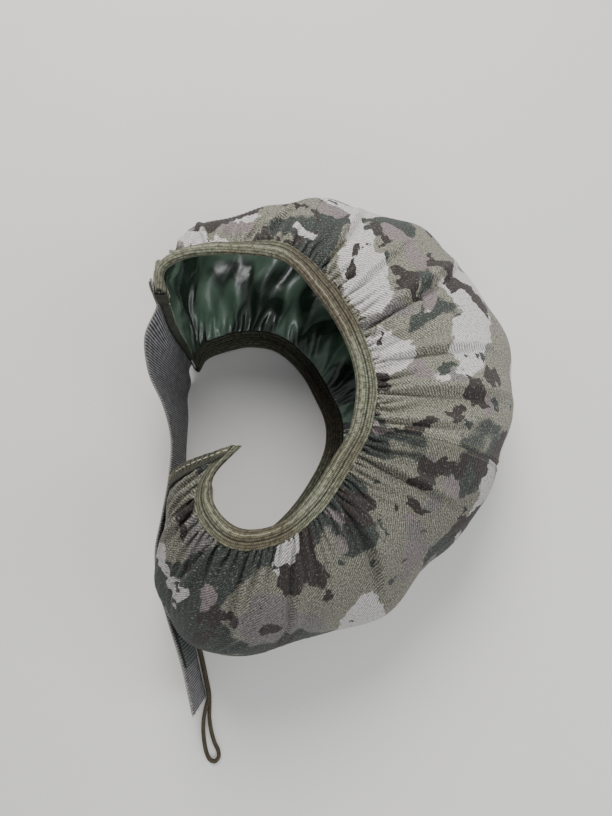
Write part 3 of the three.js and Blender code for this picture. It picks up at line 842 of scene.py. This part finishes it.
def tucked_back(ts, upper):
    return 0 * ts if upper else TUCKED * smooth(ts, *TUCK_STATIONS)


def binding_profile():
    """Closed section of the folded tape."""
    s, n = TAPE_FACE.T
    middle = -STACK / 2
    angle = np.radians(np.linspace(68, -68, 13))
    half = n[-1] - middle
    fold_s = 3.0 - 3.2 * (np.cos(angle) - np.cos(angle[0])) / (1 - np.cos(angle[0]))
    fold_n = middle + half * np.sin(angle) / np.sin(angle[0])
    below = -STACK - 0.3
    back = np.array([(12.0, below), (8.0, below), (4.3, below), (1.4, -STACK),
                     (1.4, 0.0), (4.3, 0.3), (8.0, 0.3), (12.0, 0.3)])
    section_s = np.concatenate([s, fold_s[1:-1], s[::-1], back[:, 0]])
    section_n = np.concatenate([n, fold_n[1:-1], -STACK - n[::-1], back[:, 1]])
    return section_s, section_n


def make_binding(upper):
    name = "upper" if upper else "lower"
    ts = even_steps(lambda t: lip(t, upper)[0], 0.0, float(LAST), 1.3)
    s, n = binding_profile()
    run = arc(lip(ts, upper)[0])[:, None]
    chance = np.random.default_rng(5 if upper else 6)
    phase = chance.uniform(0, 2 * np.pi, 9)
    wander = sum(np.sin(run / (3.1 + 2.3 * k) + phase[k]) for k in range(3)) / 3
    pucker = sum(np.sin(run / (1.3 + 1.1 * k) + phase[3 + k]) for k in range(3)) / 3
    sway = sum(np.sin(run / (9 + 7 * k) + phase[6 + k]) for k in range(3)) / 3
    far = np.clip(s[None] / WIDTH, 0, 1) ** 1.5
    near = 1 - np.clip(s[None] / 6, 0, 1)
    settle = smooth(np.minimum(ts, LAST - ts), 0.0, 0.3)[:, None]
    s_all = s[None] + (0.45 * wander * far + 0.55 * sway * near) * settle
    n_all = n[None] + np.where(n[None] > -STACK / 2, 0.2, -0.2) * (pucker * far + wander * 0.8) * settle
    if not upper:
        n_all = np.minimum(n_all, LOWER_FACE)
        s_all = s_all + tucked_back(ts, upper)[:, None]
    t = np.broadcast_to(ts[:, None], s_all.shape)
    rings = rim_point(t, upper, s_all, n_all)
    girth = np.concatenate([[0], np.cumsum(np.hypot(np.diff(s), np.diff(n)))])
    uv = grid_uv(run, girth)
    count = len(TAPE_FACE)
    at = [float(np.interp(-mark, -s[:count], girth[:count])) * MM for mark in (PALE_LINE, TAPE_GROOVE)]
    # The lower binding is the same tape with every colour at 0.5: painted shade, for where it lies in shadow.
    piece = tube_solid(f"{name}_binding_tape", rings, uv, binding_cloth(*at, 1.0 if upper else 0.5))
    attach(piece, AT_SEAM, "binding", f"{name}_binding_strap_side", f"{name}_binding_patch_side")
    radius = ELASTIC_DIAMETER / 2
    far_in = BINDING_THICK + 0.3 + radius
    spaced = ts[::3]
    path = rim_point(spaced, upper, far_in + tucked_back(spaced, upper), np.full(len(spaced), -STACK / 2))
    rings, uv = tube_rings(path, radius, 8)
    core = tube_solid(f"{name}_elastic_core", rings, uv, ELASTIC)
    attach(core, AT_SEAM, "elastic", f"{name}_elastic_strap_side", f"{name}_elastic_patch_side")


make_binding(True)
make_binding(False)


# ---- Stitches ------------------------------------------------------------------------------------------
def stitch_mesh(name, middles, ways, ups, material, length=2.3, width=0.55, height=0.4):
    """One mesh of little thread loops, each lying along its way."""
    rings = np.array([-0.5, -0.36, 0.0, 0.36, 0.5])
    girth = np.array([0.25, 0.8, 1.0, 0.8, 0.25])
    sink = np.array([-0.5, 0.2, 0.45, 0.2, -0.5])
    angle = np.linspace(0, 2 * np.pi, 6, endpoint=False)
    chance = np.random.default_rng(len(middles))
    ways, ups = unit(ways), unit(ups)
    sides = unit(np.cross(ways, ups))
    ways = unit(ways + sides * chance.uniform(-0.12, 0.12, (len(middles), 1)))
    length = length * chance.uniform(0.85, 1.08, len(middles))
    along = middles[:, None, None] + ways[:, None, None] * (rings * length[:, None])[:, :, None, None]
    lift = (sink[:, None] * height + girth[:, None] * height / 2 * np.sin(angle)[None])[None, ..., None]
    spread = (girth[:, None] * width / 2 * np.cos(angle)[None])[None, ..., None]
    points = (along + ups[:, None, None] * lift + sides[:, None, None] * spread).reshape(-1, 3)
    one = quads(5, 6, wrap=True).tolist() + [[5, 4, 3, 2, 1, 0], [24, 25, 26, 27, 28, 29]]
    faces = [[i + 30 * k for i in face] for k in range(len(middles)) for face in one]
    uv = grid_uv(rings[:, None] * length.mean(), angle * width / 2).reshape(-1, 2)
    return face_out(new_object(name, points, faces, material, np.tile(uv, (len(middles), 1))))


def stitch_line(name, path, ups, pitch, material, **sizes):
    """Stitches one after another along a path, which faces the way of ups."""
    run = arc(path)
    count = max(2, round(run[-1] / pitch))
    ends = spline(path, np.interp(np.linspace(0, run[-1], count + 1), run, np.arange(len(run))))
    middle = np.interp((np.arange(count) + 0.5) * run[-1] / count, run, np.arange(len(run)))
    middles, facing = spline(path, middle), spline(ups, middle)
    return stitch_mesh(name, middles, np.diff(ends, axis=0), facing, material, **sizes)


def sew_bindings():
    """A row of stitches in the groove of each binding. The lower one's outer row lies under the mask."""
    for upper, sign in ((True, 1), (True, -1), (False, -1)):
        name = f"{'upper' if upper else 'lower'}_binding_stitches_{'outside' if sign > 0 else 'inside'}"
        ts = np.linspace(0.03, LAST - 0.03, 800)
        depth = 0.72 if sign > 0 else -STACK - 0.72
        path = rim_point(ts, upper, SEWN_AT + tucked_back(ts, upper), np.full_like(ts, depth))
        facing = normal(ts, 0.0 if upper else float(END_Q)) * sign
        row = stitch_line(name, path, facing, 2.6, THREAD_OLIVE, length=1.9, width=0.5)
        attach(row, AT_SEAM, "thread")


def sew_front_seam():
    """Topstitching on both sides of the front seam, over its gathers."""
    rows = (SHELL.qs > 1.02) & (SHELL.qs < END_Q - 1.3)
    for step, side in ((-2, "strap_side"), (2, "patch_side")):
        path = SHELL.points[rows, SHELL.seam + step] + SHELL.normals[rows, SHELL.seam + step] * 0.12
        row = stitch_line(f"front_seam_stitches_{side}", path, SHELL.normals[rows, SHELL.seam + step], 2.5,
                          THREAD_OLIVE, length=1.9, width=0.45, height=0.35)
        attach(row, AT_SEAM, "thread")


def make_seam_tape():
    """Tape over the raw edges of the front seam, on the inside of the lining."""
    rows = (LINING.qs > 1.0) & (LINING.qs < END_Q - 1.0)
    columns = slice(LINING.seam - 3, LINING.seam + 1)
    facing = LINING.normals[rows, columns]
    outer = LINING.points[rows, columns] - facing * 0.7
    uv = grid_uv(arc(outer, 0), arc(outer, 1))
    piece = sheet_solid("front_seam_binding", outer, outer - facing * 0.8, uv, HEM)
    attach(piece, AT_SEAM, "hem_tape", "front_seam_tape")


sew_bindings()
sew_front_seam()
make_seam_tape()


# ---- Hems ----------------------------------------------------------------------------------------------
def away(edge, inside, q):
    inner = edge + (inside - edge) * 0.1
    return unit(surface(np.full_like(q, edge), q) - surface(np.full_like(q, inner), q))


def hem_points(edge, covered, q, beyond, depth):
    """Points of a hem: beyond the edge (positive) or over the cloth (negative, as a share of the cover)."""
    share = np.clip(-beyond, 0, 1)
    t = edge + (covered - edge) * share
    return offset(t, q, depth) + away(edge, covered, q) * np.clip(beyond, 0, None)[..., None]


def hem_rise(q):
    """How much thicker the hem is where it reaches over the upper lip."""
    return 1.35 * (1 - smooth(q, 0.92, 1.2))


def make_hem(name, body, edge, covered, node):
    qs = np.concatenate([np.linspace(0.06, 1.0, 14), np.linspace(1.08, END_Q - 1.08, 110)])
    over_lip = hem_rise(qs)[:, None]
    top, bottom = 1.3, -STACK - 1.3
    profile = np.array([(-1, 0.35), (-1, top - 0.15), (-0.85, top), (-0.55, top - 0.05), (-0.5, top - 0.3),
                        (-0.45, top - 0.05), (-0.1, top), (0.2, top), (0.8, top - 0.25), (1.2, top - 0.9),
                        (1.3, -0.6), (1.3, -STACK + 0.6), (1.2, bottom + 0.9), (0.8, bottom + 0.25),
                        (0.2, bottom), (-0.1, bottom), (-0.85, bottom), (-1, bottom + 0.15),
                        (-1, -STACK - 0.35), (0, -STACK - 0.3), (0.3, -STACK), (0.3, 0), (0, 0.3)])
    q = np.broadcast_to(qs[:, None], (len(qs), len(profile)))
    wobble = 0.12 * np.sin(qs * 19)[:, None] + 0.08 * np.sin(qs * 43 + 1)[:, None]
    depth = profile[None, :, 1] + (wobble + over_lip) * np.sign(profile[None, :, 1] + STACK / 2)
    rings = hem_points(edge, covered, q, np.broadcast_to(profile[None, :, 0], q.shape), depth)
    run = arc(rings[:, 7])[:, None]
    girth = np.concatenate([[0], np.cumsum(np.linalg.norm(np.diff(rings[50], axis=0), axis=-1))])
    uv = grid_uv(run, girth)
    piece = tube_solid(name, rings, uv, HEM)
    attach(piece, body, "hem_tape", node)
    # A dark zigzag over the fold, and a straight row of long pale stitches near the upper rim.
    count = 84
    steps = np.linspace(0.1, END_Q - 1.2, count)
    lifts = hem_rise(steps)
    for tag, depth_at, sign in (("outside", top + 0.12, 1), ("inside", bottom - 0.12, -1)):
        corner = hem_points(edge, covered, steps, np.where(np.arange(count) % 2 == 0, -0.62, 0.45),
                            depth_at + lifts * sign)
        middles, ways = (corner[1:] + corner[:-1]) / 2, corner[1:] - corner[:-1]
        ups = normal(np.full(count - 1, float(edge)), (steps[1:] + steps[:-1]) / 2) * sign
        size = float(np.linalg.norm(ways, axis=-1).mean())
        zigzag = stitch_mesh(f"{name}_zigzag_{tag}", middles, ways, ups, THREAD_OLIVE,
                             length=size * 1.02, width=0.34, height=0.26)
        attach(zigzag, body, "thread")
        near = np.linspace(0.12, 2.6, 60)
        path = hem_points(edge, covered, near, np.full(60, -0.3), depth_at + hem_rise(near) * sign)
        facing = normal(np.full(60, float(edge)), near) * sign
        row = stitch_line(f"{name}_long_stitches_{tag}", path, facing, 4.2, THREAD_PALE,
                          length=3.2, width=0.6, height=0.45)
        attach(row, body, "thread")


def make_fray(name, body, spots, outwards, across, length):
    """Loose thread ends that stick out of a cut edge."""
    chance = np.random.default_rng(len(spots))
    lean = chance.uniform(-0.7, 0.7, (len(spots), 3))
    ways = unit(outwards + lean)
    ends = stitch_mesh(name, spots + ways * length * 0.35, ways, across, THREAD_PALE, length, 0.38, 0.34)
    attach(ends, body, "thread")


make_hem("hem_strap_side", "strap_side", 0.0, 1 / 3, "end_hem_strap_side")
PATCH_END, PATCH_COVERED = float(LAST), LAST - 1 / 3
make_hem("hem_patch_side", "patch_side", PATCH_END, PATCH_COVERED, "end_hem_patch_side")
FRAYED, FRAY_DEPTHS = np.linspace(0.05, 0.75, 16), np.tile([1.6, -0.6, -2.2, -3.6], 4)
make_fray("hem_fray_patch_side", "patch_side",
          hem_points(PATCH_END, PATCH_COVERED, FRAYED, np.full(16, 1.0), FRAY_DEPTHS),
          away(PATCH_END, PATCH_COVERED, FRAYED), normal(np.full(16, PATCH_END), FRAYED), 3.8)

# ---- Strap ---------------------------------------------------------------------------------------------
# Upright lines on the strap's outer face, as in the CAD: top x, y, foot x, y and top height.
STRAP_FOOT, STRAP_WIDTH, WEBBING_THICK = 1.5, 45.0, 1.6
FULL = STRAP_FOOT + STRAP_WIDTH
STRAP_LINES = np.array([
    (-114.5, 61, -103, 54, 88), (-115, 43, -105, 43, 75), (-109, 25, -104, 27, 58),
    (-105.5, 6, -104.5, 6, FULL), (-105.5, -18, -104.5, -18, FULL), (-109, -45, -109, -45, FULL),
    (-112, -66, -112, -66, FULL), (-109.5, -86, -109.5, -86, FULL), (-103.5, -104, -103.5, -104, FULL),
    (-92, -136, -92, -136, FULL), (-85, -161.5, -85, -161.5, FULL),
], float)
HEM_THICK = 1.0
SEWN_NEAR = 2 * 0.3 + HEM_THICK
SEWN_FAR = SEWN_NEAR + WEBBING_THICK
SEWN_QS = np.append(np.arange(1.0, 8.0), END_Q - 0.4)


def strap_corners(k):
    x, y, foot_x, foot_y, height = STRAP_LINES[k]
    return np.array([x, y, height]), np.array([foot_x, foot_y, STRAP_FOOT])


def strap_row(k, depth):
    f = np.linspace(0, 1, len(SEWN_QS))[:, None]
    top, foot = strap_corners(k)
    before, after = strap_corners(max(k - 1, 0)), strap_corners(min(k + 1, len(STRAP_LINES) - 1))
    run = (after[0] - before[0]) * (1 - f) + (after[1] - before[1]) * f
    inwards = unit(np.cross(run, foot - top))
    return top + (foot - top) * f + inwards * depth


def strap_rows(sewn_depth, free_depth):
    depth = np.full(len(SEWN_QS), sewn_depth)
    sewn = [offset(np.full(len(SEWN_QS), row / 3), SEWN_QS, depth) for row in (2, 1, 0)]
    past = sewn[-1] + away(0.0, 1.0, SEWN_QS) * (HEM_THICK + 0.9)
    return np.array(sewn + [past] + [strap_row(k, free_depth) for k in range(len(STRAP_LINES))])


def chord_spline(rows, chord, at):
    """Smooth curve through rows that lie at uneven distances chord."""
    slope = np.gradient(rows, chord, axis=0)
    i = np.clip(np.searchsorted(chord, at, side="right") - 1, 0, len(chord) - 2)
    h = (chord[i + 1] - chord[i])[:, None, None]
    w = ((at - chord[i]) / (chord[i + 1] - chord[i]))[:, None, None]
    a, b, m, n = rows[i], rows[i + 1], slope[i] * h, slope[i + 1] * h
    return a + m * w + (3 * (b - a) - 2 * m - n) * w ** 2 + (2 * (a - b) + m + n) * w ** 3


OUTER_ROWS, INNER_ROWS = strap_rows(SEWN_FAR, 0.0), strap_rows(SEWN_NEAR, WEBBING_THICK)
STRAP_CHORD = arc(OUTER_ROWS[:, 4])
FIRST_LINE = 4              # rows before the first of the strap's lines
STRAP_MIDDLE_Z = 0.024      # metres


def strap_stations(low, high, pace):
    return np.linspace(low, high, max(3, round((high - low) / pace) + 1))


def strap_grid(rows, at, f):
    """Points at distances at along the strap and places f across it."""
    return np.swapaxes(spline(np.swapaxes(chord_spline(rows, STRAP_CHORD, at), 0, 1), f), 0, 1)


def make_strap():
    cut_at = STRAP_CHORD[FIRST_LINE + 4]
    parts = (
        ("strap_root_webbing", 0.0, cut_at,
         ("strap_side", "strap_middle"), (14, -2), -0.105, ("strap_root", "strap_middle")),
        ("strap_tail_webbing", cut_at, STRAP_CHORD[-1],
         ("strap_middle", "strap_tail"), (-36, -49), -0.108, ("strap_tail",)))
    for name, low, high, bodies, (start_y, end_y), x, nodes in parts:
        at, f = strap_stations(low, high, 1.2), np.linspace(0, len(SEWN_QS) - 1, 30)
        outer, inner = strap_grid(OUTER_ROWS, at, f), strap_grid(INNER_ROWS, at, f)
        across = arc(outer, 1)
        uv = grid_uv(at[:, None], across)
        # The two selvedges are pressed thinner than the middle.
        press = 0.35 * (1 - smooth(np.minimum(across, across[:, -1:] - across), 0.0, 1.2))[..., None]
        mean = (outer + inner) / 2
        piece = sheet_solid(name, outer + (mean - outer) * press, inner + (mean - inner) * press, uv, WEBBING)
        over = (*bodies, (x, start_y * MM, STRAP_MIDDLE_Z), (x, end_y * MM, STRAP_MIDDLE_Z))
        attach(piece, over, "webbing", *nodes)
        for edge, tag in ((0, "top"), (-1, "foot")):
            line = (outer[:, edge] + inner[:, edge]) / 2
            out = unit(outer[:, edge] - outer[:, 1 if edge == 0 else -2])
            run = arc(line)
            picks = np.interp(np.arange(1.2, run[-1] - 0.5, 2.3), run, np.arange(len(run)))
            spots = spline(line, picks) + spline(out, picks) * 0.05
            cross = spline(outer[:, edge] - inner[:, edge], picks)
            lean = spline(np.gradient(line, axis=0), picks)
            ways = unit(cross) + 0.45 * unit(lean)
            row = stitch_mesh(f"{name}_whip_{tag}", spots, ways, spline(out, picks), THREAD_PALE,
                              length=1.7, width=0.5, height=0.4)
            attach(row, over, "thread")
            rings, edge_uv = tube_rings(line + out * 0.12, 0.42, 8)
            roll = tube_solid(f"{name}_selvedge_{tag}", rings, edge_uv, THREAD_GREY)
            attach(roll, over, "webbing")


make_strap()


def fray_strap():
    """The strap's cut end, where the weave comes apart."""
    middle, before = (OUTER_ROWS[-1] + INNER_ROWS[-1]) / 2, (OUTER_ROWS[-2] + INNER_ROWS[-2]) / 2
    at = np.linspace(0.1, len(middle) - 1.1, 44)
    make_fray("strap_tail_fray", "strap_tail", spline(middle, at), unit(spline(middle - before, at)),
              spline(OUTER_ROWS[-1] - INNER_ROWS[-1], at), 2.2)


fray_strap()


# ---- Hook tape, pile patch and bar tacks ---------------------------------------------------------------
HOOK_MARGIN = 3.0


def strap_layer(low, high, pace, margin, count, depth):
    """Grid over the strap's inner face, depth in from its outer face."""
    at = strap_stations(low, high, pace)
    edge = (len(SEWN_QS) - 1) * margin / STRAP_WIDTH
    f = np.linspace(edge, len(SEWN_QS) - 1 - edge, count)
    outer, inner = strap_grid(OUTER_ROWS, at, f), strap_grid(INNER_ROWS, at, f)
    return outer + (inner - outer) * depth / WEBBING_THICK, unit(inner - outer)


def make_hook_tape():
    low, high = STRAP_CHORD[FIRST_LINE + 5] + HOOK_MARGIN, STRAP_CHORD[FIRST_LINE + 9]
    under, _ = strap_layer(low, high, 2.0, HOOK_MARGIN, 20, WEBBING_THICK + 0.25)
    over, _ = strap_layer(low, high, 2.0, HOOK_MARGIN, 20, WEBBING_THICK + 0.95)
    uv = grid_uv(arc(under, 0), arc(under, 1))
    base = sheet_solid("hook_tape_base", over, under, uv, HOOK)
    attach(base, "strap_tail", "hook_tape", "hook_tape")
    spots, facing = strap_layer(low + 2, high - 2, 1.9, HOOK_MARGIN + 2, 21, WEBBING_THICK + 1.25)
    ways = facing + 0.8 * np.gradient(spots, axis=0) / 1.9
    hooks = stitch_mesh("hook_tape_hooks", spots.reshape(-1, 3), ways.reshape(-1, 3),
                        np.gradient(spots, axis=0).reshape(-1, 3), THREAD_TEAL, 1.1, 0.32, 0.3)
    attach(hooks, "strap_tail", "hook_tape")


make_hook_tape()

PATCH_LOW, PATCH_HIGH, PATCH_TOP, PATCH_FOOT = 37 / 3, 43.8 / 3, 4.0, 6.0
MM_PER_STATION, MM_PER_Q = 40, 25       # near the patch
PATCH_SEAM = 2.2                        # from the patch's edge to its stitching


def make_pile_patch():
    ts, qs = np.linspace(PATCH_LOW, PATCH_HIGH, 110), np.linspace(PATCH_TOP, PATCH_FOOT, 70)
    t, q = np.meshgrid(ts, qs)
    rim = np.minimum(np.minimum(t - PATCH_LOW, PATCH_HIGH - t) * MM_PER_STATION,
                     np.minimum(q - PATCH_TOP, PATCH_FOOT - q) * MM_PER_Q)
    pile = np.random.default_rng(3).uniform(-0.28, 0.28, t.shape) * smooth(rim, 1.0, 3.0)
    tall = 0.55 + 1.0 * smooth(rim, -0.2, 2.0) - 0.45 * np.exp(-((rim - PATCH_SEAM) / 0.6) ** 2) + pile
    outer, inner = offset(t, q, tall), offset(t, q, np.full(t.shape, 0.3))
    uv = grid_uv(arc(inner, 1), arc(inner, 0))
    piece = sheet_solid("pile_patch", outer, inner, uv, PILE)
    attach(piece, "patch_side", "pile_tape", "loop_patch")
    inset_t, inset_q = PATCH_SEAM / MM_PER_STATION, PATCH_SEAM / MM_PER_Q
    corners = [(PATCH_LOW + inset_t, PATCH_TOP + inset_q), (PATCH_HIGH - inset_t, PATCH_TOP + inset_q),
               (PATCH_HIGH - inset_t, PATCH_FOOT - inset_q), (PATCH_LOW + inset_t, PATCH_FOOT - inset_q)]
    line = np.concatenate([np.linspace(corners[k], corners[(k + 1) % 4], 40)[:-1] for k in range(4)])
    path = offset(line[:, 0], line[:, 1], np.full(len(line), 1.15))
    row = stitch_line("pile_patch_stitches", path, normal(line[:, 0], line[:, 1]), 2.4, THREAD_OLIVE,
                      length=1.8, width=0.45, height=0.35)
    attach(row, "patch_side", "thread")
    ts = np.linspace(PATCH_LOW, PATCH_HIGH, 120)
    edge = offset(ts, np.full_like(ts, PATCH_TOP - 0.02), np.full_like(ts, 0.95))
    rings, uv = tube_rings(edge, 0.5, 8)
    cord = tube_solid("pile_patch_selvedge", rings, uv, THREAD_TEAL)
    attach(cord, "patch_side", "thread")


make_pile_patch()


def make_bar_tack(node, body, count):
    """Satin stitches side by side in the space of a CAD bar tack."""
    corners = np.array([tuple(v.co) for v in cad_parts[node].data.vertices]) / MM
    corners = np.unique(corners.round(3), axis=0)
    middle = corners.mean(axis=0)
    _, _, axes = np.linalg.svd(corners - middle)
    size = np.ptp((corners - middle) @ axes.T, axis=0)
    long_way, short_way, up = axes
    steps = (np.linspace(-0.5, 0.5, count) * (size[0] - 0.5))[:, None]
    spots = middle + long_way * steps
    ways = np.tile(short_way, (count, 1)) + long_way * 0.12
    body_of_thread = stitch_mesh(f"{node}_thread", spots, ways, np.tile(up, (count, 1)), THREAD_OLIVE,
                                 size[1] * 1.04, size[0] / count * 1.25, max(size[2] * 0.9, 0.6))
    attach(body_of_thread, body, "thread", node)


make_bar_tack("hang_loop_bartack", "strap_tail", 11)
make_bar_tack("strap_bartack_top", "strap_side", 12)
make_bar_tack("strap_bartack_bottom", "strap_side", 12)
